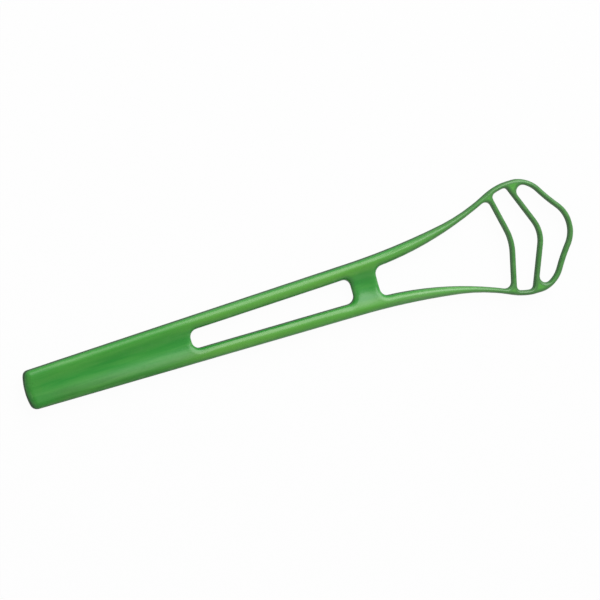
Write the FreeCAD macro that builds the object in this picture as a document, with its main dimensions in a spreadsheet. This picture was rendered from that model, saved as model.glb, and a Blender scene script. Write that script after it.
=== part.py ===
# Tongue scraper: one flat plastic moulding with a slotted handle and an open head that carries
# three wavy scraping blades. It is drawn whole, as one plan, and divided at flat faces into the
# regions that a user would name. Lengths are millimetres, angles are degrees.
#
# Drawing frame: x runs from the handle end to the tip, y across, z = 0 on the parting plane.
# The finished nodes stand on z = 0 with the origin under the middle of the tool.

import FreeCAD, Part
import math
import os
import Sketcher
from FreeCAD import Vector

os.makedirs("parts", exist_ok=True)
doc = FreeCAD.newDocument("tongue_scraper")

# Driving dimensions

SIZES = {
    # the whole tool
    "tool_length": 155.0,
    "handle_thickness": 4.4,
    "head_thickness": 2.8,
    # outer edge, from the handle end to the tip
    "end_bow_radius": 14.5,
    "end_corner_radius": 1.5,
    "side_taper": 1.06,
    "neck_width": 13.95,
    "head_length": 61.4,
    "flare_angle": 9.04,
    "neck_angle": 25.68,
    "head_width": 30.7,
    "shoulder_setback": 13.3,
    "shoulder_rear_radius": 17.7,
    "shoulder_front_radius": 8.7,
    "notch_radius": 47.0,
    "tip_radius": 9.15,
    # walls left between the edges and the openings
    "rail_width": 3.52,
    "bridge_width": 7.2,
    "rim_width": 1.15,
    "blade_width": 1.12,
    # openings
    "grip_length": 47.0,
    "slot_corner_radius": 2.1,
    "window_setback": 55.0,
    "window_width": 8.1,
    "window_corner_radius": 2.2,
    "arm_angle": 24.9,
    # blades: a rounded bend on the axis between two straight legs, which would reach the head's
    # full width a little behind its widest place
    "rear_root_offset": 7.026,
    "rear_blade_angle": 13.0,
    "rear_blade_bend": 14.0,
    "middle_root_offset": 1.284,
    "middle_blade_angle": 22.0,
    "middle_blade_bend": 8.5,
    "root_radius": 1.3,
    "web_radius": 1.8,
    # broken upper and lower edges
    "handle_edge": 1.0,
    "head_edge": 0.25,
    # hollows in the upper and lower faces
    "grip_dish_depth": 0.95,
    "bridge_dish_depth": 1.3,
    # how far the cutting shapes run past what they cut
    "overrun": 2.0,
}

sheet = doc.addObject("Spreadsheet::Sheet", "sizes")
for row, (alias, value) in enumerate(SIZES.items(), start=1):
    sheet.set(f"A{row}", alias)
    sheet.set(f"B{row}", str(value))
    sheet.setAlias(f"B{row}", alias)
doc.recompute()


def size(alias):
    """The value of one driving dimension, as a plain number."""
    return float(sheet.get(alias))


# The roundings where a blade's faces run into the rim. Two of them are filled to wider webs.
ROOT_SIZES = {
    ("rear", "rear"): "web_radius",
    ("rear", "front"): "root_radius",
    ("middle", "rear"): "root_radius",
    ("middle", "front"): "web_radius",
}


def root_size(blade, face):
    return size(ROOT_SIZES[blade, face])


# Plan geometry
#
# The plan is a chain of lines and tangent arcs. Their starting places are worked out here, and
# the sketch then holds them with constraints.

def circles_meet(centre_a, radius_a, centre_b, radius_b, side):
    """The crossing of two circles that lies to the left (+1) or right (-1) of the way a to b."""
    way = centre_b - centre_a
    gap = way.Length
    along = (radius_a ** 2 - radius_b ** 2 + gap ** 2) / (2 * gap)
    across = math.sqrt(radius_a ** 2 - along ** 2)
    way.normalize()
    return centre_a + way * along + Vector(-way.y, way.x, 0) * (side * across)


def line_meets_circle(point, way, centre, radius, sign):
    """The later (+1) or earlier (-1) crossing of a line, along its unit way, with a circle."""
    offset = point - centre
    half = offset.dot(way)
    root = math.sqrt(half ** 2 - offset.Length ** 2 + radius ** 2)
    return point + way * (sign * root - half)


def toward(centre, other, distance):
    """The point at a distance from a centre, in the direction of another point."""
    way = Vector(other) - centre
    way.normalize()
    return centre + way * distance


def direction(degrees):
    """The unit direction at an angle from +x."""
    turn = math.radians(degrees)
    return Vector(math.cos(turn), math.sin(turn), 0)


def edge_y(centre, radius, x, side):
    """Where a circle crosses a line of constant x, above (+1) or below (-1) its centre, and how
    much longer a cut along that line is than one square to the circle."""
    rise = math.sqrt(radius ** 2 - (x - centre.x) ** 2)
    return centre.y + side * rise, radius / rise


class Places:
    """Points and centres of the half plan, on the +y side of the axis."""

    def __init__(self):
        rim = size("rim_width")
        half_blade = size("blade_width") / 2
        tip_x = size("tool_length")
        self.flare_x = tip_x - size("head_length")
        self.window_x = tip_x - size("window_setback")
        self.slot_end_x = self.window_x - size("bridge_width")
        self.slot_start_x = size("grip_length")
        self.slot_length = self.slot_end_x - self.slot_start_x

        # outer edge
        self.side_way = direction(size("side_taper"))
        self.side_out = Vector(-self.side_way.y, self.side_way.x, 0)
        self.side_end = Vector(self.flare_x, size("neck_width") / 2, 0)
        self.bow = Vector(size("end_bow_radius"), 0, 0)
        corner = size("end_corner_radius")
        self.corner = line_meets_circle(self.side_end - self.side_out * corner, self.side_way,
                                        self.bow, size("end_bow_radius") - corner, -1)
        shoulder_x = tip_x - size("shoulder_setback")
        half_head = size("head_width") / 2
        rear = size("shoulder_rear_radius")
        front = size("shoulder_front_radius")
        self.widest = Vector(shoulder_x, half_head, 0)
        self.shoulder_rear = Vector(shoulder_x, half_head - rear, 0)
        self.shoulder_front = Vector(shoulder_x, half_head - front, 0)
        self.tip = Vector(tip_x - size("tip_radius"), 0, 0)
        self.bend_the_arm(rear)
        self.notch = circles_meet(self.shoulder_front, front + size("notch_radius"),
                                  self.tip, size("tip_radius") + size("notch_radius"), +1)

        # inner edges of the head
        self.rear_inner = rear - rim
        self.front_inner = front - rim
        self.window_corner_point = Vector(self.window_x, size("window_width") / 2, 0)
        arm_out = direction(size("arm_angle") + 90)
        way = self.shoulder_rear + arm_out * self.rear_inner - self.window_corner_point
        arm = -way.Length ** 2 / (2 * arm_out.dot(way))
        self.arm_radius = arm
        self.arm = self.shoulder_rear + arm_out * (self.rear_inner + arm)
        window_corner = size("window_corner_radius")
        self.window_corner = line_meets_circle(Vector(self.window_x + window_corner, 0, 0),
                                               Vector(0, 1, 0), self.arm, arm + window_corner, -1)

        # blades
        self.blades = {}
        for name in ("rear", "middle"):
            bend = size(f"{name}_blade_bend")
            out = direction(size(f"{name}_blade_angle"))
            leg_end = self.widest - Vector(size(f"{name}_root_offset"), 0, 0)
            self.blades[name] = {
                "centre": Vector((leg_end.dot(out) - bend) / out.x, 0, 0),
                "out": out,
                "way": direction(size(f"{name}_blade_angle") + 90),
                "front": bend + half_blade,
                "rear": bend - half_blade,
            }
        self.roots = {
            "middle_front": self.root("middle", "front", self.shoulder_front, self.front_inner, +1),
            "middle_rear": self.root("middle", "rear", self.shoulder_rear, self.rear_inner, +1),
            "rear_front": self.root("rear", "front", self.shoulder_rear, self.rear_inner, +1),
            "rear_rear": self.root("rear", "rear", self.arm, arm, -1),
        }

        # slot
        self.slot_side = self.side_end - self.side_out * size("rail_width")
        self.slot_end_corner = self.slot_corner(self.slot_end_x - size("slot_corner_radius"))
        self.slot_start_corner = self.slot_corner(self.slot_start_x + size("slot_corner_radius"))

    def bend_the_arm(self, rear):
        """Two arcs that leave the straight side smoothly, turn first to the flare's angle and then
        to the neck's, and meet the shoulder arc there. Their radii follow from where they end."""
        middle = direction(size("flare_angle"))
        end = direction(size("neck_angle"))
        end_out = Vector(-end.y, end.x, 0)
        first = Vector(middle.y - self.side_way.y, self.side_way.x - middle.x, 0)
        second = Vector(end.y - middle.y, middle.x - end.x, 0)
        way = self.shoulder_rear + end_out * rear - self.side_end
        spread = first.cross(second).z
        self.flare_radius = way.cross(second).z / spread
        self.neck_radius = first.cross(way).z / spread
        self.flare = self.side_end + self.side_out * self.flare_radius
        self.flare_end = self.side_end + first * self.flare_radius
        self.neck = self.shoulder_rear + end_out * (rear + self.neck_radius)

    def root(self, blade, face, centre, rim_radius, sign):
        """The centre of the rounding where one face of a blade runs into the rim."""
        leg = self.blades[blade]
        radius = root_size(blade, face)
        off = radius if face == "front" else -radius
        start = leg["centre"] + leg["out"] * (leg[face] + off)
        return line_meets_circle(start, leg["way"], centre, rim_radius - sign * radius, sign)

    def slot_corner(self, x):
        """The centre of a slot corner whose middle lies at x."""
        along = (x - self.slot_side.x + self.side_out.x * size("slot_corner_radius")) / self.side_way.x
        return self.slot_side + self.side_way * along - self.side_out * size("slot_corner_radius")

    def half_width(self, x):
        """Half the width of the tapered handle at x."""
        return self.side_end.y + (x - self.side_end.x) * self.side_way.y / self.side_way.x

    def arm_outer(self, x):
        """The arm's outer edge at x, with how much longer a cut across it is there."""
        neck_end = toward(self.shoulder_rear, self.neck, size("shoulder_rear_radius")).x
        if x < self.flare_end.x:
            return edge_y(self.flare, self.flare_radius, x, -1)
        if x < neck_end:
            return edge_y(self.neck, self.neck_radius, x, -1)
        return edge_y(self.shoulder_rear, size("shoulder_rear_radius"), x, +1)

    def arm_inner(self, x):
        """The arm's inner edge at x, with how much longer a cut across it is there."""
        return edge_y(self.arm, self.arm_radius, x, -1)


class Chain:
    """Adds lines and arcs to a sketch end to end, with a joint between neighbours."""

    def __init__(self, sketch):
        self.sketch = sketch
        self.ids = {}
        self.ends = {}
        self.last = None

    def add(self, name, shape, reverse, smooth):
        number = self.sketch.addGeometry(shape, False)
        self.ids[name] = number
        self.ends[name] = (2, 1) if reverse else (1, 2)
        if self.last:
            kind = "Tangent" if smooth else "Coincident"
            self.join(kind, self.last, name)
        self.last = name

    def join(self, kind, before, after):
        self.sketch.addConstraint(Sketcher.Constraint(
            kind, self.ids[before], self.ends[before][1], self.ids[after], self.ends[after][0]))

    def line(self, name, start, end, smooth=True, reverse=False):
        points = (end, start) if reverse else (start, end)
        self.add(name, Part.LineSegment(*points), reverse, smooth)

    def arc(self, name, centre, radius, start, end, turn, smooth=True):
        """An arc that turns left (+1) or right (-1) on its way from start to end."""
        first, last = (start, end) if turn > 0 else (end, start)
        angles = [math.atan2(p.y - centre.y, p.x - centre.x) for p in (first, last)]
        circle = Part.Circle(centre, Vector(0, 0, 1), radius)
        self.add(name, Part.ArcOfCircle(circle, *angles), turn < 0, smooth)

    def fix(self, label, expression, kind, *places):
        """A dimension that follows an expression of the sheet."""
        number = self.sketch.addConstraint(Sketcher.Constraint(kind, *places))
        self.sketch.renameConstraint(number, label)
        self.sketch.setExpression(f"Constraints.{label}", expression)

    def bind(self, *constraint):
        self.sketch.addConstraint(Sketcher.Constraint(*constraint))


X_AXIS = -1
ORIGIN = (-1, 1)
CENTRE_INDEX = 3


def draw_outer_edge(chain, at):
    """From the handle end, along the side and round the head to the tip."""
    side_start = at.corner + at.side_out * size("end_corner_radius")
    bow_end = toward(at.bow, at.corner, size("end_bow_radius"))
    neck_end = toward(at.shoulder_rear, at.neck, size("shoulder_rear_radius"))
    notch_start = toward(at.shoulder_front, at.notch, size("shoulder_front_radius"))
    notch_end = toward(at.tip, at.notch, size("tip_radius"))
    tip_end = Vector(size("tool_length"), 0, 0)
    chain.arc("bow", at.bow, size("end_bow_radius"), Vector(0, 0, 0), bow_end, -1)
    chain.arc("end_corner", at.corner, size("end_corner_radius"), bow_end, side_start, -1)
    chain.line("side", side_start, at.side_end)
    chain.arc("flare", at.flare, at.flare_radius, at.side_end, at.flare_end, +1)
    chain.arc("neck", at.neck, at.neck_radius, at.flare_end, neck_end, +1)
    chain.arc("shoulder_rear", at.shoulder_rear, size("shoulder_rear_radius"),
              neck_end, at.widest, -1)
    chain.arc("shoulder_front", at.shoulder_front, size("shoulder_front_radius"),
              at.widest, notch_start, -1)
    chain.arc("notch", at.notch, size("notch_radius"), notch_start, notch_end, +1)
    chain.arc("tip", at.tip, size("tip_radius"), notch_end, tip_end, -1)


def draw_blade_face(chain, at, blade, face, rim_centre, rim_radius, inward):
    """One face of a blade with its rounded root, from the rim to the axis or back."""
    leg = at.blades[blade]
    root = at.roots[f"{blade}_{face}"]
    radius = root_size(blade, face)
    off = -radius if face == "front" else radius
    root_rim = toward(rim_centre, root, rim_radius)
    leg_end = root + leg["out"] * off
    leg_start = leg["centre"] + leg["out"] * leg[face]
    axis_end = leg["centre"] + Vector(leg[face], 0, 0)
    name = f"{blade}_{face}"
    if inward:
        chain.arc(f"{name}_root", root, radius, root_rim, leg_end, +1)
        chain.line(f"{name}_leg", leg_end, leg_start, reverse=True)
        chain.arc(f"{name}_bend", leg["centre"], leg[face], leg_start, axis_end, -1)
    else:
        chain.arc(f"{name}_bend", leg["centre"], leg[face], axis_end, leg_start, +1, smooth=False)
        chain.line(f"{name}_leg", leg_start, leg_end)
        chain.arc(f"{name}_root", root, radius, leg_end, root_rim, +1)
    return root_rim


def draw_inner_edges(chain, at):
    """From the tip back along the axis, round each opening in turn."""
    rim = size("rim_width")
    tip_end = Vector(size("tool_length"), 0, 0)
    tip_inner = tip_end - Vector(rim, 0, 0)
    inner_notch_start = toward(at.tip, at.notch, size("tip_radius") - rim)
    inner_notch_end = toward(at.shoulder_front, at.notch, at.front_inner)
    chain.line("tip_axis", tip_end, tip_inner, smooth=False)

    # the front gap, between the tip loop and the middle blade
    root_rim = toward(at.shoulder_front, at.roots["middle_front"], at.front_inner)
    chain.arc("tip_inner", at.tip, size("tip_radius") - rim, tip_inner, inner_notch_start, +1,
              smooth=False)
    chain.arc("notch_inner", at.notch, size("notch_radius") + rim, inner_notch_start,
              inner_notch_end, -1)
    chain.arc("front_inner", at.shoulder_front, at.front_inner, inner_notch_end, root_rim, +1)
    draw_blade_face(chain, at, "middle", "front", at.shoulder_front, at.front_inner, True)
    blade_axis(chain, at, "middle")

    # the rear gap, between the two blades
    draw_blade_face(chain, at, "middle", "rear", at.shoulder_rear, at.rear_inner, False)
    start = toward(at.shoulder_rear, at.roots["middle_rear"], at.rear_inner)
    end = toward(at.shoulder_rear, at.roots["rear_front"], at.rear_inner)
    chain.arc("rear_inner", at.shoulder_rear, at.rear_inner, start, end, +1)
    draw_blade_face(chain, at, "rear", "front", at.shoulder_rear, at.rear_inner, True)
    blade_axis(chain, at, "rear")

    # the head window, behind the rear blade
    arm = at.arm_radius
    draw_blade_face(chain, at, "rear", "rear", at.arm, arm, False)
    arm_start = toward(at.arm, at.roots["rear_rear"], arm)
    arm_end = toward(at.arm, at.window_corner, arm)
    corner_end = at.window_corner - Vector(size("window_corner_radius"), 0, 0)
    window_axis = Vector(at.window_x, 0, 0)
    slot_axis = Vector(at.slot_end_x, 0, 0)
    chain.arc("arm_inner", at.arm, arm, arm_start, arm_end, -1)
    chain.arc("window_corner", at.window_corner, size("window_corner_radius"),
              arm_end, corner_end, +1)
    chain.line("window_start", corner_end, window_axis)
    chain.line("bridge_axis", window_axis, slot_axis, smooth=False)

    # the handle slot
    radius = size("slot_corner_radius")
    end_low = at.slot_end_corner + Vector(radius, 0, 0)
    end_high = at.slot_end_corner + at.side_out * radius
    start_high = at.slot_start_corner + at.side_out * radius
    start_low = at.slot_start_corner - Vector(radius, 0, 0)
    slot_start = Vector(at.slot_start_x, 0, 0)
    chain.line("slot_end", slot_axis, end_low, smooth=False)
    chain.arc("slot_end_corner", at.slot_end_corner, radius, end_low, end_high, +1)
    chain.line("slot_side", end_high, start_high)
    chain.arc("slot_start_corner", at.slot_start_corner, radius, start_high, start_low, +1)
    chain.line("slot_start", start_low, slot_start)
    chain.line("grip_axis", slot_start, Vector(0, 0, 0), smooth=False)


def blade_axis(chain, at, blade):
    leg = at.blades[blade]
    ends = [leg["centre"] + Vector(leg[face], 0, 0) for face in ("front", "rear")]
    chain.line(f"{blade}_axis", *ends, smooth=False)


def constrain_plan(chain):
    """Ties every radius, place and angle of the plan to the sheet."""
    ids = chain.ids
    chain.bind("Coincident", ids["grip_axis"], 2, ids["bow"], 2)
    chain.bind("Coincident", ids["grip_axis"], 2, *ORIGIN)

    # on the axis
    for name in ("tip_axis", "middle_axis", "rear_axis", "bridge_axis"):
        for end in (1, 2):
            chain.bind("PointOnObject", ids[name], end, X_AXIS)
    chain.bind("PointOnObject", ids["grip_axis"], 1, X_AXIS)
    for name in ("bow", "tip", "middle_front_bend", "rear_front_bend"):
        chain.bind("PointOnObject", ids[name], CENTRE_INDEX, X_AXIS)

    # arcs that share a centre
    for inner, outer in (("tip_inner", "tip"), ("front_inner", "shoulder_front"),
                         ("rear_inner", "shoulder_rear"), ("middle_rear_bend", "middle_front_bend"),
                         ("rear_rear_bend", "rear_front_bend")):
        chain.bind("Coincident", ids[inner], CENTRE_INDEX, ids[outer], CENTRE_INDEX)

    # radii
    radii = {
        "bow": "sizes.end_bow_radius",
        "end_corner": "sizes.end_corner_radius",
        "shoulder_rear": "sizes.shoulder_rear_radius",
        "shoulder_front": "sizes.shoulder_front_radius",
        "notch": "sizes.notch_radius",
        "tip": "sizes.tip_radius",
        "tip_inner": "sizes.tip_radius - sizes.rim_width",
        "notch_inner": "sizes.notch_radius + sizes.rim_width",
        "front_inner": "sizes.shoulder_front_radius - sizes.rim_width",
        "rear_inner": "sizes.shoulder_rear_radius - sizes.rim_width",
        "window_corner": "sizes.window_corner_radius",
        "slot_end_corner": "sizes.slot_corner_radius",
        "slot_start_corner": "sizes.slot_corner_radius",
    }
    for blade in ("rear", "middle"):
        radii[f"{blade}_front_bend"] = f"sizes.{blade}_blade_bend + sizes.blade_width / 2"
        radii[f"{blade}_rear_bend"] = f"sizes.{blade}_blade_bend - sizes.blade_width / 2"
        for face in ("front", "rear"):
            radii[f"{blade}_{face}_root"] = f"sizes.{ROOT_SIZES[blade, face]}"
    for name, expression in radii.items():
        arc = chain.sketch.Geometry[ids[name]]
        chain.fix(f"{name}_radius", expression, "Radius", ids[name], arc.Radius)

    # places along and across the tool, and angles
    def place(label, expression, kind, name, end):
        point = chain.sketch.getPoint(ids[name], end)
        value = point.x if kind == "DistanceX" else point.y
        chain.fix(label, expression, kind, *ORIGIN, ids[name], end, value)

    tip = "sizes.tool_length"
    shoulder = f"{tip} - sizes.shoulder_setback"
    window = f"{tip} - sizes.window_setback"
    place("tip_place", tip, "DistanceX", "tip_axis", 1)
    place("flare_place", f"{tip} - sizes.head_length", "DistanceX", "side", 2)
    place("neck_half_width", "sizes.neck_width / 2", "DistanceY", "side", 2)
    place("shoulder_rear_place", shoulder, "DistanceX", "shoulder_rear", CENTRE_INDEX)
    place("shoulder_front_place", shoulder, "DistanceX", "shoulder_front", CENTRE_INDEX)
    place("head_half_width", "sizes.head_width / 2", "DistanceY", "shoulder_front", 2)
    place("window_place", window, "DistanceX", "window_start", 2)
    place("slot_end_place", f"{window} - sizes.bridge_width", "DistanceX", "slot_end", 1)
    place("slot_start_place", "sizes.grip_length", "DistanceX", "slot_start", 2)
    for name in ("window_start", "slot_end", "slot_start"):
        chain.bind("Vertical", ids[name])
    chain.fix("side_angle", "sizes.side_taper", "Angle", ids["side"], math.radians(size("side_taper")))
    chain.bind("Parallel", ids["side"], ids["slot_side"])
    chain.fix("rail_wall", "sizes.rail_width", "Distance", ids["slot_side"], 1, ids["side"],
              size("rail_width"))
    for blade in ("rear", "middle"):
        angle = f"sizes.{blade}_blade_angle * 1 deg"
        leg_end = f"{shoulder} - sizes.{blade}_root_offset"
        sweep = f"sizes.head_width / 2 * tan({angle}) - sizes.{blade}_blade_bend / cos({angle})"
        place(f"{blade}_bend_place", f"{leg_end} + {sweep}", "DistanceX", f"{blade}_front_bend",
              CENTRE_INDEX)
        for face in ("front", "rear"):
            chain.fix(f"{blade}_{face}_angle", f"90 + sizes.{blade}_blade_angle", "Angle",
                      ids[f"{blade}_{face}_leg"], math.radians(90 + size(f"{blade}_blade_angle")))

    # the slopes at which the flare runs into the neck, the neck into the shoulder, and the arm's
    # inner edge into the rim's; each is held by a spoke to the arc's centre
    slopes = {"flare": ("flare", (ids["flare"], chain.ends["flare"][1])),
              "neck": ("neck", (ids["neck"], chain.ends["neck"][1])),
              "arm": ("arm_inner", (ids["rear_inner"], CENTRE_INDEX))}
    for slope, (arc, foot) in slopes.items():
        ends = [chain.sketch.getPoint(*place) for place in (foot, (ids[arc], CENTRE_INDEX))]
        spoke = chain.sketch.addGeometry(Part.LineSegment(*ends), True)
        chain.bind("Coincident", spoke, 1, *foot)
        chain.bind("Coincident", spoke, 2, ids[arc], CENTRE_INDEX)
        chain.fix(f"{slope}_slope", f"90 + sizes.{slope}_angle", "Angle", spoke,
                  math.radians(90 + size(f"{slope}_angle")))

    # the arm's inner edge starts at the window's square corner and runs into the rim
    corner = chain.sketch.addGeometry(Part.Point(Vector(size("tool_length") - size("window_setback"),
                                                        size("window_width") / 2, 0)), True)
    chain.bind("PointOnObject", corner, 1, ids["window_start"])
    chain.fix("window_half_width", "sizes.window_width / 2", "DistanceY", *ORIGIN, corner, 1,
              size("window_width") / 2)
    chain.bind("PointOnObject", corner, 1, ids["arm_inner"])
    chain.bind("Tangent", ids["arm_inner"], ids["rear_inner"])


def origin_plane(body, role):
    return next(o for o in body.Origin.OriginFeatures if o.Role == role)


def make_plan_blank():
    """The whole plan as one thick plate, drawn as a half and mirrored."""
    body = doc.addObject("PartDesign::Body", "plan_blank")
    sketch = body.newObject("Sketcher::SketchObject", "plan")
    sketch.AttachmentSupport = (origin_plane(body, "XY_Plane"), [""])
    sketch.MapMode = "FlatFace"
    chain = Chain(sketch)
    at = Places()
    draw_outer_edge(chain, at)
    draw_inner_edges(chain, at)
    constrain_plan(chain)
    doc.recompute()
    pad = body.newObject("PartDesign::Pad", "plate")
    pad.Profile = sketch
    pad.SideType = "Symmetric"
    pad.setExpression("Length", "sizes.handle_thickness + sizes.overrun")
    doc.recompute()
    mirror = body.newObject("PartDesign::Mirrored", "both_sides")
    mirror.Originals = [pad]
    mirror.MirrorPlane = (origin_plane(body, "XZ_Plane"), [""])
    body.Tip = mirror
    doc.recompute()
    return body, at


# Regions
#
# The plate is divided across the tool where the hollows have run out, so that every joint is a
# plain flat face. Each region has a block that gives it its upper and lower faces.

# shares of the slot's length and of the window's length at which the regions meet
GRIP_RUNOUT_SHARE = 0.22
BRIDGE_RUNOUT_SHARE = 0.15
ARM_START_SHARE = 0.18
ARM_END_SHARE = 0.93
# share of a blade's straight leg that belongs to the blade; the rest stays with its root
BLADE_LEG_SHARE = 0.97
# the grip's hollow: its depth at the handle end, and where along the grip it is full and fades
GRIP_END_DEPTH_SHARE = 0.4
GRIP_FULL_SHARE = 0.8
GRIP_FADE_SHARE = 0.93
# the level land left outside a hollow, as a share of the handle's broken edge
LAND_SHARE = 1.0
# the most that a wall of a given width, and a rounded corner, can lose on each of its edges
EDGE_LIMIT_SHARE = 0.4
CORNER_LIMIT_SHARE = 0.8
# inner edges of the handle are broken less than outer ones
INNER_EDGE_SHARE = 0.85
# rows of points along and across each hollow, and cross sections along an arm
HOLLOW_ROWS = (17, 13)
ARM_SECTIONS = 9
# a wall's normal is nearly level and an upper or lower face's is nearly upright; a wall that
# faces mostly along the tool is sorted by its place instead of by its side
WALL_TILT_LIMIT = 0.1
FACE_TILT_LIMIT = 0.6
SIDE_TILT_LIMIT = 0.2
# edges this close to a joint lie in it
JOINT_TOLERANCE = 1e-4


def edge_x(centre, radius, y, side):
    """Where a circle crosses a line of constant y, ahead (+1) of its centre or behind it (-1)."""
    return centre.x + side * math.sqrt(radius ** 2 - (y - centre.y) ** 2)


def leg_x(at, blade, face, y):
    """Where the straight leg of a blade's face crosses a line of constant y."""
    leg = at.blades[blade]
    start = leg["centre"] + leg["out"] * leg[face]
    return start.x + (y - start.y) * leg["way"].x / leg["way"].y


def work_out_joints(at):
    """Where the regions meet, kept in a second sheet that the cutting boxes follow."""
    joints = {}
    joints["grip_end"] = at.slot_start_x + at.slot_length * GRIP_RUNOUT_SHARE
    joints["bridge_start"] = at.slot_end_x - at.slot_length * BRIDGE_RUNOUT_SHARE
    arm = at.arm_radius
    root_x = toward(at.arm, at.roots["rear_rear"], arm).x
    window_length = root_x - at.window_x
    joints["bridge_end"] = at.window_x + window_length * ARM_START_SHARE
    joints["arm_end"] = at.window_x + window_length * ARM_END_SHARE
    for blade in ("rear", "middle"):
        out = at.blades[blade]["out"]
        ends = (at.roots[f"{blade}_front"] - out * root_size(blade, "front"),
                at.roots[f"{blade}_rear"] + out * root_size(blade, "rear"))
        joints[f"{blade}_half_span"] = BLADE_LEG_SHARE * min(end.y for end in ends)
    notch_start = toward(at.shoulder_front, at.notch, size("shoulder_front_radius"))
    notch_end = toward(at.tip, at.notch, size("tip_radius"))
    joints["tip_half_span"] = (notch_start.y + notch_end.y) / 2

    # lines across the openings that keep the blades apart
    rear_y = joints["rear_half_span"]
    middle_y = joints["middle_half_span"]
    notch_inner = size("notch_radius") + size("rim_width")
    behind_rear = (edge_x(at.arm, arm, rear_y, +1) + leg_x(at, "rear", "rear", rear_y)) / 2
    apex = {name: leg["centre"].x + leg["front"] for name, leg in at.blades.items()}
    behind_middle = (apex["rear"] + leg_x(at, "middle", "rear", middle_y)) / 2
    behind_tip = (apex["middle"] + edge_x(at.notch, notch_inner, middle_y, -1)) / 2
    joints["behind_rear"] = behind_rear
    joints["behind_middle"] = behind_middle
    joints["behind_tip"] = behind_tip

    places = doc.addObject("Spreadsheet::Sheet", "joints")
    for row, (alias, value) in enumerate(joints.items(), start=1):
        places.set(f"A{row}", alias)
        places.set(f"B{row}", repr(value))
        places.setAlias(f"B{row}", alias)
    doc.recompute()
    return joints


def box(name, x_from, x_to, y_from, y_to, thickness):
    """A block between two places on each axis, level with the parting plane."""
    block = doc.addObject("Part::Box", name)
    block.setExpression("Length", f"({x_to}) - ({x_from})")
    block.setExpression("Width", f"({y_to}) - ({y_from})")
    block.setExpression("Height", thickness)
    block.setExpression("Placement.Base.x", x_from)
    block.setExpression("Placement.Base.y", y_from)
    block.setExpression("Placement.Base.z", f"-({thickness}) / 2")
    return block


def common(name, base, tool):
    piece = doc.addObject("Part::Common", name)
    piece.Base = base
    piece.Tool = tool
    return piece


def smooth_step(share):
    """Rises from 0 to 1 with level ends."""
    share = min(max(share, 0), 1)
    return share ** 2 * (3 - 2 * share)


def hollow(share):
    """A rounded hollow: 1 in the middle, level at 0 from its edge outward."""
    return (1 - share ** 2) ** 2 if abs(share) < 1 else 0


def hollow_block(name, depth_at, x_from, x_to):
    """A block whose upper and lower faces are hollowed to a depth given at every x and y."""
    half_thickness = size("handle_thickness") / 2
    half_width = (size("neck_width") + size("overrun")) / 2 + size("overrun")
    rows, columns = HOLLOW_ROWS
    grid = []
    for i in range(rows):
        x = x_from + (x_to - x_from) * i / (rows - 1)
        across = [half_width * (2 * j / (columns - 1) - 1) for j in range(columns)]
        grid.append([Vector(x, y, half_thickness - depth_at(x, y)) for y in across])
    surface = Part.BSplineSurface()
    surface.interpolate(grid)
    upper = surface.toShape().extrude(Vector(0, 0, -2 * size("handle_thickness")))
    lower = upper.mirror(Vector(0, 0, 0), Vector(0, 0, 1))
    block = doc.addObject("Part::Feature", name)
    block.Shape = upper.common(lower)
    return block


def arm_loft(name, at, joints, side, handle_edges, head_edge):
    """One arm, ruled through cross sections with broken corners. It thins from the handle's
    thickness to the head's in a flat double bend."""
    start = joints["bridge_end"]
    end = joints["arm_end"]
    sections = []
    for number in range(ARM_SECTIONS):
        share = number / (ARM_SECTIONS - 1)
        x = start + (end - start) * share
        thinning = (size("handle_thickness") - size("head_thickness")) * smooth_step(share)
        high = (size("handle_thickness") - thinning) / 2
        outer, outer_slant = at.arm_outer(x)
        inner, inner_slant = at.arm_inner(x)
        outer_edge, inner_edge = (edge + (head_edge - edge) * share for edge in handle_edges)
        outer_low = outer - outer_edge * outer_slant
        inner_low = inner + inner_edge * inner_slant
        quarter = [(outer, high - outer_edge), (outer_low, high), (inner_low, high),
                   (inner, high - inner_edge)]
        ring = quarter + [(y, -z) for y, z in reversed(quarter)]
        section = doc.addObject("Part::Polygon", f"{name}_section_{number}")
        section.Nodes = [Vector(x, side * y, z) for y, z in ring]
        section.Close = True
        sections.append(section)
    loft = doc.addObject("Part::Loft", name)
    loft.Sections = sections
    loft.Solid = True
    loft.Ruled = True
    return loft


# Breaking the edges

def wall_edges(shape, joint_places):
    """The edges between a wall and an upper or lower face, each with the wall's outward normal.
    Edges that lie in a joint face are left sharp."""
    found = []
    for number, edge in enumerate(shape.Edges, start=1):
        middle = edge.valueAt((edge.FirstParameter + edge.LastParameter) / 2)
        normals = []
        for face in shape.ancestorsOfType(edge, Part.Face):
            normals.append(face.normalAt(*face.Surface.parameter(middle)))
        normals.sort(key=lambda normal: abs(normal.z))
        wall, level = normals[0], normals[-1]
        upright = abs(wall.z) < WALL_TILT_LIMIT and abs(level.z) > FACE_TILT_LIMIT
        ends = [vertex.Point.x for vertex in edge.Vertexes]
        in_joint = any(all(abs(x - place) < JOINT_TOLERANCE for x in ends) for place in joint_places)
        if upright and not in_joint:
            found.append((number, edge, middle, wall))
    return found


def faces_inward(at, middle, wall):
    """True for a wall of the slot or the window."""
    if abs(wall.y) > SIDE_TILT_LIMIT:
        return wall.y * middle.y < 0
    return middle.x > at.slot_start_x / 2


def break_edges(name, base, at, joint_places, outer_edge, inner_edge):
    """Breaks the upper and lower edges of a region, the outer and inner ones by their own amount."""
    doc.recompute()
    broken = doc.addObject("Part::Chamfer", name)
    broken.Base = base
    edges = []
    for number, edge, middle, wall in wall_edges(base.Shape, joint_places):
        amount = inner_edge if faces_inward(at, middle, wall) else outer_edge
        edges.append((number, amount, amount))
    broken.Edges = edges
    return broken


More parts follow.
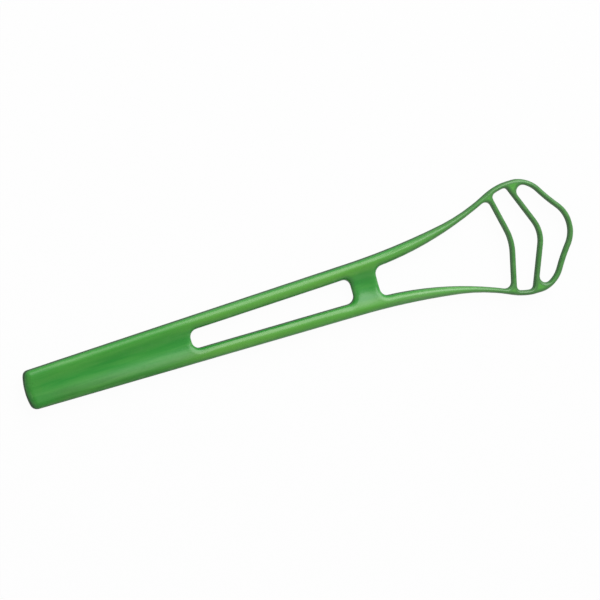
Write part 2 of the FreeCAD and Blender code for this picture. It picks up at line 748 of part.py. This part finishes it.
def make_regions(blank, at, joints):
    """Cuts the plate into its regions, breaks their edges and names the nodes."""
    tool_end = "sizes.tool_length + sizes.overrun"
    half = "sizes.head_width / 2 + sizes.overrun"
    handle = "sizes.handle_thickness"
    head = "sizes.head_thickness"
    walls = (size("rail_width"), size("handle_thickness"))
    web = size("handle_thickness") - 2 * size("bridge_dish_depth")
    outer_edge = min(size("handle_edge"), EDGE_LIMIT_SHARE * min(walls),
                     CORNER_LIMIT_SHARE * size("end_corner_radius"))
    inner_edge = min(INNER_EDGE_SHARE * outer_edge, EDGE_LIMIT_SHARE * web)
    thin_walls = (size("rim_width"), size("blade_width"), size("head_thickness"))
    head_edge = min(size("head_edge"), EDGE_LIMIT_SHARE * min(thin_walls))

    # grip
    def grip_depth(x, y):
        full = GRIP_FULL_SHARE * at.slot_start_x
        fade = GRIP_FADE_SHARE * at.slot_start_x
        rise = GRIP_END_DEPTH_SHARE + (1 - GRIP_END_DEPTH_SHARE) * smooth_step(x / full)
        fall = 1 - smooth_step((x - fade) / (joints["grip_end"] - fade))
        half_width = at.half_width(x) - LAND_SHARE * outer_edge
        return size("grip_dish_depth") * rise * fall * hollow(y / half_width)

    grip_block = hollow_block("grip_block", grip_depth, -size("overrun"), joints["grip_end"])
    grip_cut = common("grip_cut", blank, grip_block)
    grip = break_edges("handle_grip", grip_cut, at, [joints["grip_end"]], outer_edge, inner_edge)

    # rails
    rails = []
    for name, low, high in (("left_rail", "0", half), ("right_rail", f"-({half})", "0")):
        block = box(f"{name}_block", "joints.grip_end", "joints.bridge_start", low, high, handle)
        cut = common(f"{name}_cut", blank, block)
        places = [joints["grip_end"], joints["bridge_start"]]
        rails.append(break_edges(name, cut, at, places, outer_edge, inner_edge))

    # bridge
    def bridge_depth(x, y):
        middle = (at.slot_end_x + at.window_x) / 2
        reach = middle - joints["bridge_start"] if x < middle else joints["bridge_end"] - middle
        half_width = at.half_width(middle) - LAND_SHARE * outer_edge
        return size("bridge_dish_depth") * hollow((x - middle) / reach) * hollow(y / half_width)

    bridge_block = hollow_block("bridge_block", bridge_depth, joints["bridge_start"], joints["bridge_end"])
    bridge_cut = common("bridge_cut", blank, bridge_block)
    places = [joints["bridge_start"], joints["bridge_end"]]
    bridge = break_edges("bridge", bridge_cut, at, places, outer_edge, inner_edge)

    # arms
    arms = [arm_loft(name, at, joints, side, (outer_edge, inner_edge), head_edge)
            for name, side in (("left_arm", +1), ("right_arm", -1))]

    # head: its edges are broken while it is whole, then the blades are taken out of it
    head_block = box("head_block", "joints.arm_end", tool_end, f"-({half})", half, head)
    head_cut = common("head_cut", blank, head_block)
    head_whole = break_edges("head_whole", head_cut, at, [joints["arm_end"]], head_edge, head_edge)
    spans = (
        ("rear_blade", "joints.behind_rear", "joints.behind_middle", "joints.rear_half_span"),
        ("middle_blade", "joints.behind_middle", "joints.behind_tip", "joints.middle_half_span"),
        ("tip_blade", "joints.behind_tip", tool_end, "joints.tip_half_span"),
    )
    blades = []
    rest = head_whole
    for name, rear, front, span in spans:
        block = box(f"{name}_block", rear, front, f"-({span})", span, handle)
        blades.append(common(name, head_whole, block))
        cut = doc.addObject("Part::Cut", f"head_without_{name}")
        cut.Base = rest
        cut.Tool = block
        rest = cut
    shoulders = []
    for name, low, high in (("left_shoulder", "0", half), ("right_shoulder", f"-({half})", "0")):
        side = box(f"{name}_side", "0", tool_end, low, high, handle)
        shoulders.append(common(name, rest, side))

    return [grip, *rails, bridge, *arms, *shoulders, *blades]


def check_document():
    doc.recompute()
    for item in doc.Objects:
        bad = {"Invalid", "Error"} & set(item.State)
        if bad:
            raise RuntimeError(f"{item.Name} failed: {item.State}")


def write_nodes(nodes):
    """Stands each node on z = 0 with the origin under the tool's middle, and writes it."""
    for node in nodes:
        node.setExpression("Placement.Base.x", "-sizes.tool_length / 2")
        node.setExpression("Placement.Base.z", "sizes.handle_thickness / 2")
    check_document()
    for node in nodes:
        shape = node.Shape
        if shape.isNull() or not shape.isValid() or len(shape.Solids) != 1:
            raise RuntimeError(f"{node.Label} is not one valid solid")
    for node in nodes:
        node.Shape.exportStep(f"parts/{node.Label}.step")
        print(node.Label, round(node.Shape.Volume, 2))


plan_blank, plan_places = make_plan_blank()
region_joints = work_out_joints(plan_places)
check_document()
write_nodes(make_regions(plan_blank, plan_places, region_joints))
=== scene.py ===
import math

import bmesh
import bpy
from mathutils import Matrix, Vector, kdtree


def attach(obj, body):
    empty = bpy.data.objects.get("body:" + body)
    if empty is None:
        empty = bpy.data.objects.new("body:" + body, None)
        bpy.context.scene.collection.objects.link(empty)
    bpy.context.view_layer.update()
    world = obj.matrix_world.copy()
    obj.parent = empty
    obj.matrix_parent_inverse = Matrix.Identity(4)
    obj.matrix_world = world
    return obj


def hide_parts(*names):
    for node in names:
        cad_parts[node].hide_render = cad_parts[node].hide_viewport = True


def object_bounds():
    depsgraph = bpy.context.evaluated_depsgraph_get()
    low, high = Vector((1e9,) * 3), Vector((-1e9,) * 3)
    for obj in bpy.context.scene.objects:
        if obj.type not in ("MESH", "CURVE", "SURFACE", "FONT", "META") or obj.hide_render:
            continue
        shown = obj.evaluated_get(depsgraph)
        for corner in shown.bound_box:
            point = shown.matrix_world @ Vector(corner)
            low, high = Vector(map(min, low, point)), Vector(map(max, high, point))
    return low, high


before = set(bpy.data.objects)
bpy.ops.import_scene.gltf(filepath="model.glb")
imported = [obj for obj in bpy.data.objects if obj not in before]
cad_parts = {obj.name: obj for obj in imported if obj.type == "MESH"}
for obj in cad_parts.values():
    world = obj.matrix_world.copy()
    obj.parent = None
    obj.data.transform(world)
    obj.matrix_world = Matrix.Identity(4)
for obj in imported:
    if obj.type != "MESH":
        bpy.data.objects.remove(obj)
cad_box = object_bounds()

MM = 0.001
NODES = sorted(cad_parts)


# Working with the selection, as by hand

def select_only(*objects):
    bpy.ops.object.select_all(action="DESELECT")
    for piece in objects:
        piece.select_set(True)
    bpy.context.view_layer.objects.active = objects[0]


def apply_modifier(piece, kind, name, **settings):
    select_only(piece)
    modifier = piece.modifiers.new(name, kind)
    for key, value in settings.items():
        setattr(modifier, key, value)
    bpy.ops.object.modifier_apply(modifier=modifier.name)


# The moulding: one continuous skin over all the regions of the tool

MERGE_DISTANCE = 0.002 * MM
VOXEL = 0.15 * MM
BODY_TRIANGLES = 190000
EDGE_POINTS = 4
MID_PLANE = 2.2 * MM

# How far a pass of polishing moves each point towards its neighbours' middle, and the passes
# of each polish
POLISH_SHARE = 0.5
FIRST_PASSES = 6
MAIN_PASSES = 12
LAST_PASSES = 3

# Places along the tool, in millimetres from its middle
END = -77.5
BOW = -75.0
GRIP = -60.0
NECK = 20.0
HEAD = 52.0
TIP = 77.5

# Values along the tool, in millimetres: at each place, how far in from an edge the crown of a bar
# reaches and how far it drops there, how thick half the tool is, how far its edges are broken
# outside and inside, and how far the walls are moved out to make up for the polishing
CROWN_REACH = ((END, 1.6), (BOW, 1.75), (NECK, 1.75), (HEAD, 0.58), (TIP, 0.58))
CROWN_DROP = ((END, 1.7), (BOW, 1.4), (NECK, 1.4), (HEAD, 0.95), (TIP, 0.95))
HALF_THICKNESS = ((END, 2.2), (NECK, 2.2), (HEAD, 1.4), (TIP, 1.4))
OUTER_BREAK = ((END, 1.0), (NECK, 1.0), (HEAD, 0.25), (TIP, 0.25))
INNER_BREAK = ((END, 0.72), (NECK, 0.72), (HEAD, 0.2), (TIP, 0.2))
SWELL = ((END, 0.04), (GRIP, 0.06), (NECK, 0.08), (HEAD, 0.12), (TIP, 0.12))


def along(steps, x):
    """A value that changes along the tool, read off at x between its steps."""
    for (x0, value0), (x1, value1) in zip(steps, steps[1:]):
        if x <= x1:
            break
    share = min(max((x - x0) / (x1 - x0), 0), 1)
    return value0 + (value1 - value0) * share


def join_regions():
    """Copies of all the regions as one mesh, merged where they touch."""
    select_only(*(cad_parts[name] for name in NODES))
    bpy.ops.object.duplicate()
    copies = list(bpy.context.selected_objects)
    for copy in copies:
        for key in [key for key in copy.keys() if key.startswith("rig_")]:
            del copy[key]
        copy.parent = None
    select_only(*copies)
    bpy.ops.object.join()
    body = bpy.context.view_layer.objects.active
    body.name = "scraper_moulding"
    body.data.name = "scraper_moulding"
    bpy.ops.object.mode_set(mode="EDIT")
    bpy.ops.mesh.select_all(action="SELECT")
    bpy.ops.mesh.remove_doubles(threshold=MERGE_DISTANCE)
    bpy.ops.object.mode_set(mode="OBJECT")
    return body


def find_edges(body):
    """A search tree of points along the edges of the plan, and which of them are on the outside."""
    mesh = bmesh.new()
    mesh.from_mesh(body.data)
    cut = bmesh.ops.bisect_plane(mesh, geom=mesh.verts[:] + mesh.edges[:] + mesh.faces[:],
                                 plane_co=(0, 0, MID_PLANE), plane_no=(0, 0, 1))
    on_cut = {item for item in cut["geom_cut"] if isinstance(item, bmesh.types.BMVert)}
    cut_edges = [item for item in cut["geom_cut"] if isinstance(item, bmesh.types.BMEdge)]
    first = min(on_cut, key=lambda point: (point.co.x, point.co.y))
    outside = {first}
    waiting = [first]
    while waiting:
        point = waiting.pop()
        for edge in point.link_edges:
            other = edge.other_vert(point)
            if other in on_cut and other not in outside:
                outside.add(other)
                waiting.append(other)
    tree = kdtree.KDTree(EDGE_POINTS * len(cut_edges))
    is_outside = []
    for edge in cut_edges:
        start, end = (vertex.co for vertex in edge.verts)
        for step in range(EDGE_POINTS):
            point = start.lerp(end, step / EDGE_POINTS)
            tree.insert((point.x, point.y, 0), len(is_outside))
            is_outside.append(edge.verts[0] in outside)
    tree.balance()
    mesh.free()
    return tree, is_outside


def crown_bars(body, tree, is_outside):
    """Turns the broken edges of the bars into full, soft crowns."""
    for vertex in body.data.vertices:
        x, y, z = vertex.co
        place = x / MM
        reach = along(CROWN_REACH, place)
        _, number, gap = tree.find((x, y, 0))
        inward = gap / MM
        if inward >= reach:
            continue
        half = along(HALF_THICKNESS, place)
        edge_break = along(OUTER_BREAK if is_outside[number] else INNER_BREAK, place)
        drop = along(CROWN_DROP, place)
        crown = half - drop + drop * math.sqrt(1 - (1 - inward / reach) ** 2)
        broken = half - max(edge_break - inward, 0)
        vertex.co.z = MID_PLANE + (z - MID_PLANE) * crown / broken
    body.data.update()


def swell_walls(body):
    """Moves the walls out a little, but not past the tool's outer sizes."""
    low, high = cad_box
    moves = [vertex.normal * (along(SWELL, vertex.co.x / MM) * MM) for vertex in body.data.vertices]
    for vertex, move in zip(body.data.vertices, moves):
        vertex.co.x = min(max(vertex.co.x + move.x, low[0]), high[0])
        vertex.co.y = min(max(vertex.co.y + move.y, low[1]), high[1])
    body.data.update()


def polish(body, name, passes):
    """Smooths the whole skin."""
    apply_modifier(body, "SMOOTH", name, factor=POLISH_SHARE, iterations=passes)


def mark_edges(body, tree):
    """Keeps how far each point is from the nearest edge of the plan, for the plastic's colours."""
    kept = body.data.attributes.new("edge_distance", "FLOAT", "POINT")
    for vertex, mark in zip(body.data.vertices, kept.data):
        x, y, _ = vertex.co
        mark.value = tree.find((x, y, 0))[2] / MM


def make_moulding():
    """The regions as one moulded piece, with the soft edges of a polished mould."""
    body = join_regions()
    apply_modifier(body, "REMESH", "skin", mode="VOXEL", voxel_size=VOXEL, use_smooth_shade=True)
    polish(body, "first_polish", FIRST_PASSES)
    tree, is_outside = find_edges(body)
    crown_bars(body, tree, is_outside)
    swell_walls(body)
    polish(body, "polish", MAIN_PASSES)
    ratio = BODY_TRIANGLES / (2 * len(body.data.polygons))
    if ratio < 1:
        apply_modifier(body, "DECIMATE", "thin_out", ratio=ratio)
    polish(body, "last_polish", LAST_PASSES)
    mark_edges(body, tree)
    select_only(body)
    bpy.ops.object.shade_smooth()
    return body


# Shader nodes

class Value:
    """A number that changes over the surface, with the sums that the materials use."""

    def __init__(self, tree, socket):
        self.tree = tree
        self.socket = socket

    def maths(self, operation, *others):
        return self.tree.add("ShaderNodeMath", {"operation": operation}, self, *others)

    def __add__(self, other):
        return self.maths("ADD", other)

    __radd__ = __add__

    def __mul__(self, other):
        return self.maths("MULTIPLY", other)

    __rmul__ = __mul__

    def __sub__(self, other):
        return self.maths("SUBTRACT", other)

    def __rsub__(self, other):
        return self.tree.add("ShaderNodeMath", {"operation": "SUBTRACT"}, other, self)


class Tree:
    """The nodes of one material, or of the room."""

    def __init__(self, owner):
        owner.use_nodes = True
        self.nodes = owner.node_tree.nodes
        self.links = owner.node_tree.links
        self.nodes.clear()

    def put(self, socket, value):
        if isinstance(value, Value):
            self.links.new(value.socket, socket)
        else:
            socket.default_value = value

    def add(self, kind, settings=None, *values, out=0, **named):
        """Adds a node: its settings first, then its sockets in order or by name."""
        node = self.nodes.new(kind)
        for key, value in (settings or {}).items():
            setattr(node, key, value)
        for number, value in enumerate(values):
            self.put(node.inputs[number], value)
        for key, value in named.items():
            self.put(node.inputs[key.replace("_", " ")], value)
        return Value(self, node.outputs[out]) if node.outputs else None

    def axis(self, vector, letter):
        return self.add("ShaderNodeSeparateXYZ", None, vector, out=letter)

    def noise(self, place, scale, detail):
        return self.add("ShaderNodeTexNoise", None, Vector=place, Scale=scale, Detail=detail)

    def ramp(self, value, low, high):
        """0 at low, 1 at high and smooth between them."""
        smooth = {"interpolation_type": "SMOOTHSTEP"}
        return self.add("ShaderNodeMapRange", smooth, value, low, high)

    def zone(self, place, fade):
        """0 at the first of two places in millimetres, 1 at the second and smooth between them."""
        start, full = fade
        return self.ramp(place, start * MM, full * MM)

    def mix(self, share, first, second):
        return self.add("ShaderNodeMixRGB", None, share, first, second)

    def seen_or_mirrored(self):
        """1 for rays from the camera, straight, mirrored or let through, and 0 for other light."""
        shown = self.add("ShaderNodeLightPath", out="Is Camera Ray")
        for ray in ("Is Glossy Ray", "Is Transmission Ray"):
            shown = shown.maths("MAXIMUM", self.add("ShaderNodeLightPath", out=ray))
        return shown


def linear(red, green, blue):
    """A colour as seen on screen, 0 to 255, in the linear form that shaders use."""
    shares = [channel / 255 for channel in (red, green, blue)]
    return tuple(s / 12.92 if s <= 0.04045 else ((s + 0.055) / 1.055) ** 2.4 for s in shares) + (1,)


WHITE = (1, 1, 1, 1)


# The green plastic

BAR_GREEN = linear(78, 154, 40)
# Painted light and shade on the grip: its lower side is painted darker and its upper side lighter,
# as the lamp falls on it
GRIP_SHADED_LOWER_GREEN = linear(34, 108, 18)
GRIP_LIT_UPPER_GREEN = linear(54, 148, 40)
# Painted shade: the head and the ends of the arms are painted darker and greyer, as their round
# wires turn away from the lamp
HEAD_SHADE_GREEN = linear(56, 118, 48)
# Painted highlight: a lighter green along the lower arm
LOWER_ARM_HIGHLIGHT_GREEN = linear(112, 172, 92)
# Painted shade: a deeper, darker green in the recesses of the dishes and at the handle end
HOLLOW_SHADE_GREEN = linear(14, 134, 30)
# Painted light: the flat webs of the head keep a lighter, lit green against the painted shade of
# its wires
WEB_LIT_GREEN = linear(74, 156, 50)
CLOUD_GREEN = linear(54, 148, 44)
FLOW_GREEN = linear(98, 176, 76)
WORN_GREEN = linear(160, 196, 148)
# Painted shade: the side walls are painted much darker, sooner on the lower side of the grip
HANDLE_WALL_SHADE_GREEN = linear(12, 46, 10)
HEAD_WALL_SHADE_GREEN = linear(28, 90, 32)

# Where each zone of the plastic starts and where it is full, in millimetres: along the tool,
# across it, up or down from its middle plane, and in from an edge
GRIP_FADE = (-22, -42)
END_FADE = (-64, -75)
HEAD_FADE = (16, 58)
ARM_START = (17, 30)
ARM_STOP = (56, 42)
HOLLOW_STOP = (50, 25)
UPPER_SIDE_FADE = (-6, 4)
HOLLOW_HEIGHT = (2.12, 1.45)
HOLLOW_INWARD = (2.4, 5.0)
WEB_INWARD = (0.62, 1.1)

# How far up or down a surface faces, from 0 to 1, where it starts to count as a wall or a crown
# and where it fully does, and how much sooner a wall starts on the lower side of the grip. The
# walls take painted shade as well as more roughness and less coat.
WALL_FACING = (0.52, 0.12)
CROWN_START = (0.55, 0.8)
CROWN_STOP = (0.99, 0.9)
LOW_GRIP_WALL = 0.2

# How strongly each zone takes its own green: painted shade at the handle end and on the walls, a
# painted highlight on the lower arm, and the plastic's own clouds, flow marks and rubbed wear
END_SHADE_SHARE = 0.6
LOWER_ARM_HIGHLIGHT_SHARE = 0.6
CLOUD_SHARE = 0.30
FLOW_SHARE = 0.16
WORN_SHARE = 0.12
WALL_SHADE_SHARE = 0.9


def green_plastic():
    """Mid green moulded plastic with painted light and shade: painted shade in the recesses of the
    dishes, at the handle end, on the side walls, over the head's wires and on the lower side of the
    grip, and painted light on the grip's upper side, the lower arm and the head's flat webs.
    Besides that it is a little paler and rougher where the crowns are rubbed, with faint flow marks
    along the tool and a fine grain."""
    material = bpy.data.materials.new("moulded_green_plastic")
    tree = Tree(material)
    place = tree.add("ShaderNodeTexCoord", out="Object")
    facing = tree.add("ShaderNodeTexCoord", out="Normal")
    upward = tree.axis(facing, "Z").maths("ABSOLUTE")
    height = (tree.axis(place, "Z") - MID_PLANE).maths("ABSOLUTE")
    distance = tree.axis(place, "X")
    across = tree.axis(place, "Y")
    inward = tree.add("ShaderNodeAttribute", {"attribute_name": "edge_distance"}, out="Fac")

    stretched = tree.add("ShaderNodeMapping", None, place, Scale=(0.08, 1.0, 1.0))
    cloud = tree.noise(place, scale=60.0, detail=3.0)
    flow = tree.noise(stretched, scale=900.0, detail=2.0)
    rub = tree.noise(place, scale=500.0, detail=3.0)
    grain = tree.noise(place, scale=5000.0, detail=2.0)

    grip = tree.zone(distance, GRIP_FADE)
    upper_side = tree.zone(across, UPPER_SIDE_FADE)
    lower_side = 1.0 - upper_side
    head = tree.zone(distance, HEAD_FADE)
    # Where the painted highlight on the lower arm lies
    lower_arm_highlight = tree.zone(distance, ARM_START) * tree.zone(distance, ARM_STOP) * lower_side
    # Where the painted shade of the recesses lies: low down, far in from the edges, and at the
    # handle end
    hollow_shade = tree.zone(height, HOLLOW_HEIGHT).maths("MAXIMUM", tree.ramp(inward, *HOLLOW_INWARD))
    hollow_shade = hollow_shade * tree.zone(distance, HOLLOW_STOP)
    hollow_shade = hollow_shade.maths("MAXIMUM", END_SHADE_SHARE * tree.zone(distance, END_FADE))
    lit_web = head * tree.ramp(inward, *WEB_INWARD)
    wall = tree.ramp(upward - LOW_GRIP_WALL * grip * lower_side, *WALL_FACING)
    crown = tree.ramp(upward, *CROWN_START) * tree.ramp(upward, *CROWN_STOP)
    worn = crown * tree.ramp(rub, low=0.45, high=0.7)

    # Painted shade on the grip's lower side and painted light on its upper side
    colour = tree.mix(upper_side, GRIP_SHADED_LOWER_GREEN, GRIP_LIT_UPPER_GREEN)
    colour = tree.mix(grip, BAR_GREEN, colour)
    # Painted shade over the head's wires
    colour = tree.mix(head, colour, HEAD_SHADE_GREEN)
    # Painted highlight on the lower arm
    colour = tree.mix(LOWER_ARM_HIGHLIGHT_SHARE * lower_arm_highlight, colour, LOWER_ARM_HIGHLIGHT_GREEN)
    # Painted shade in the recesses
    colour = tree.mix(hollow_shade, colour, HOLLOW_SHADE_GREEN)
    # Painted light on the head's flat webs
    colour = tree.mix(lit_web, colour, WEB_LIT_GREEN)
    colour = tree.mix(CLOUD_SHARE * tree.ramp(cloud, low=0.35, high=0.65), colour, CLOUD_GREEN)
    colour = tree.mix(FLOW_SHARE * tree.ramp(flow, low=0.4, high=0.65), colour, FLOW_GREEN)
    colour = tree.mix(WORN_SHARE * worn, colour, WORN_GREEN)
    # Painted shade on the side walls
    wall_shade_colour = tree.mix(head, HANDLE_WALL_SHADE_GREEN, HEAD_WALL_SHADE_GREEN)
    colour = tree.mix(WALL_SHADE_SHARE * wall, colour, wall_shade_colour)

    roughness = 0.34 + 0.08 * (cloud - 0.5) + 0.10 * worn + 0.3 * wall + 0.04 * grip
    coat = (0.3 - 0.2 * grip) * (1.0 - wall)
    bump = tree.add("ShaderNodeBump", None, Height=grain + 0.5 * flow, Strength=0.06,
                    Distance=0.02 * MM)
    shader = tree.add("ShaderNodeBsdfPrincipled", None, Base_Color=colour, Roughness=roughness,
                      Normal=bump, Coat_Weight=coat, Coat_Roughness=0.24, Specular_IOR_Level=0.4)
    tree.add("ShaderNodeOutputMaterial", None, Surface=shader)
    return material


# Building the piece

body = make_moulding()
body.data.materials.clear()
body.data.materials.append(green_plastic())
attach(body, "root")
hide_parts(*NODES)


# Floor and room

FLOOR_SIZE = 3
FLOOR_GAP = 0.05 * MM
PAPER_GREY = (0.7, 0.7, 0.7, 1)
FLOOR_GLOW = 0.97
ROOM_LIGHT = 0.33


def white_floor():
    """Pale paper that takes the tool's shadow, and is white where it is seen or mirrored."""
    material = bpy.data.materials.new("white_floor")
    tree = Tree(material)
    paper = tree.add("ShaderNodeBsdfDiffuse", None, Color=PAPER_GREY)
    glow = tree.add("ShaderNodeEmission", None, Color=WHITE, Strength=1.0)
    mixed = tree.add("ShaderNodeMixShader", None, FLOOR_GLOW * tree.seen_or_mirrored(), paper, glow)
    tree.add("ShaderNodeOutputMaterial", None, Surface=mixed)
    return material


def white_room():
    """A room that is white where it is seen or mirrored, and lights the tool evenly and less."""
    world = bpy.data.worlds.new("studio")
    tree = Tree(world)
    level = tree.add("ShaderNodeMapRange", None, tree.seen_or_mirrored(), To_Min=ROOM_LIGHT)
    background = tree.add("ShaderNodeBackground", None, Color=WHITE, Strength=level)
    tree.add("ShaderNodeOutputWorld", None, Surface=background)
    return world


bpy.ops.object.select_all(action="DESELECT")
bpy.ops.mesh.primitive_plane_add(size=FLOOR_SIZE, location=(0, 0, -FLOOR_GAP))
floor = bpy.context.object
floor.name = "floor"
bpy.ops.object.transform_apply(location=True, rotation=True, scale=True)
floor.data.materials.append(white_floor())

scene = bpy.context.scene
scene.view_settings.view_transform = "Standard"
scene.world = white_room()


# Camera: it looks down on the tool, leaning a little towards the handle end and the left side

PIXELS = 600
PIXELS_PER_METRE = 3794.4
LEAN = Vector((-0.245, 0.14, 1.0)).normalized()
TURN = math.radians(16.355)
HANDLE_END = Vector((END * MM, 0, MID_PLANE))
HANDLE_END_PIXEL = (25.28, 391.94)
CAMERA_DISTANCE = 0.5

tilt = Vector((0, 0, 1)).rotation_difference(LEAN).to_matrix()
right = tilt @ Vector((math.cos(TURN), -math.sin(TURN), 0))
up = tilt @ Vector((math.sin(TURN), math.cos(TURN), 0))
middle = HANDLE_END + right * ((PIXELS / 2 - HANDLE_END_PIXEL[0]) / PIXELS_PER_METRE)
middle += up * ((HANDLE_END_PIXEL[1] - PIXELS / 2) / PIXELS_PER_METRE)
camera_data = bpy.data.cameras.new("camera")
camera_data.type = "ORTHO"
camera_data.ortho_scale = PIXELS / PIXELS_PER_METRE
camera_data.clip_start = 0.01
camera_data.clip_end = 10
camera = bpy.data.objects.new("camera", camera_data)
scene.collection.objects.link(camera)
turn = Matrix((right, up, LEAN)).transposed()
camera.matrix_world = Matrix.Translation(middle + LEAN * CAMERA_DISTANCE) @ turn.to_4x4()
scene.camera = camera


# Light

def soft_lamp(name, toward_right, toward_up, height, size, power):
    """A square lamp placed by where it stands in the picture, aimed at the tool's middle."""
    data = bpy.data.lights.new(name, "AREA")
    data.shape = "SQUARE"
    data.size = size
    data.energy = power
    lamp = bpy.data.objects.new(name, data)
    scene.collection.objects.link(lamp)
    place = right * toward_right + up * toward_up + Vector((0, 0, height))
    aim = place.to_track_quat("Z", "Y").to_matrix().to_4x4()
    lamp.matrix_world = Matrix.Translation(place) @ aim


soft_lamp("key_lamp", toward_right=0.25, toward_up=0.60, height=0.54, size=0.80, power=8.7)
